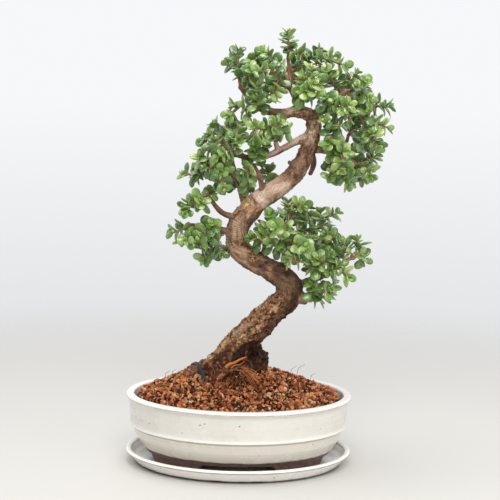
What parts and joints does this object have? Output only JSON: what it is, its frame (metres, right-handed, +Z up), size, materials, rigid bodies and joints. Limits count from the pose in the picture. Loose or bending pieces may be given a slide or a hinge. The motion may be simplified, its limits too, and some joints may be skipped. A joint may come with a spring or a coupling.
{
  "type": "dwarf jade bonsai",
  "caption": "S-curved dwarf jade bonsai with small round fleshy leaves, planted in coarse soil in an oval cream-glazed pot on a matching drip tray.",
  "frame": {"origin": "middle of the drip tray's flat underside", "axes": "+Z up through the tree, +X along the oval pot's long axis to the side the crown leans over, -Y towards the front"},
  "size_m": [0.3143, 0.219, 0.5204],
  "materials": {
    "cream_glaze": "glossy cream off-white glaze with faint throwing lines and small brown specks, bare red-brown clay at the foot",
    "soil_granules": "coarse baked-clay granules of 2 to 6 mm, orange-brown, red-brown and tan, matt",
    "bark": "grey-brown ringed bark, dark and flaking near the roots, smooth tan patches on the middle bend",
    "jade_leaf": "fleshy waxy green leaf with a soft gloss, paler at the rim, on reddish-brown young twigs",
    "black_plastic": "black moulded plastic, satin"
  },
  "bodies": {
    "root": {"drip_tray": "cream_glaze", "pot": "cream_glaze", "drain_screen_left": "black_plastic", "drain_screen_right": "black_plastic", "soil": "soil_granules", "tie_strap": "black_plastic", "trunk": "bark", "spray_apex": "jade_leaf", "spray_apex_left": "jade_leaf", "spray_apex_right": "jade_leaf", "spray_arch_front": "jade_leaf", "spray_arch_low_front": "jade_leaf", "spray_crown_front": "jade_leaf", "spray_drop_right": "jade_leaf", "spray_far_left": "jade_leaf", "spray_far_left_back": "jade_leaf", "spray_far_left_mid": "jade_leaf", "spray_inner_up": "jade_leaf", "spray_left_low": "jade_leaf", "spray_left_low_back": "jade_leaf", "spray_left_low_front": "jade_leaf", "spray_left_mid": "jade_leaf", "spray_left_mid_back": "jade_leaf", "spray_left_mid_front": "jade_leaf", "spray_loop_mid": "jade_leaf", "spray_low_back": "jade_leaf", "spray_low_front": "jade_leaf", "spray_low_hang": "jade_leaf", "spray_low_left": "jade_leaf", "spray_low_left_up": "jade_leaf", "spray_low_mid": "jade_leaf", "spray_low_right": "jade_leaf", "spray_low_right_back": "jade_leaf", "spray_low_right_up": "jade_leaf", "spray_low_tip": "jade_leaf", "spray_low_top": "jade_leaf", "spray_mid_right": "jade_leaf", "spray_mid_right_back": "jade_leaf", "spray_mid_right_front": "jade_leaf", "spray_mid_right_low": "jade_leaf", "spray_mid_right_up": "jade_leaf", "spray_right_back": "jade_leaf", "spray_right_front": "jade_leaf", "spray_right_high": "jade_leaf", "spray_right_low_tip": "jade_leaf", "spray_right_rise": "jade_leaf", "spray_right_tip": "jade_leaf", "spray_top_back": "jade_leaf", "spray_top_back_right": "jade_leaf", "spray_top_front": "jade_leaf", "spray_top_left": "jade_leaf", "spray_top_left_back": "jade_leaf", "spray_trunk_leaves": "jade_leaf"}
  },
  "joints": []
}
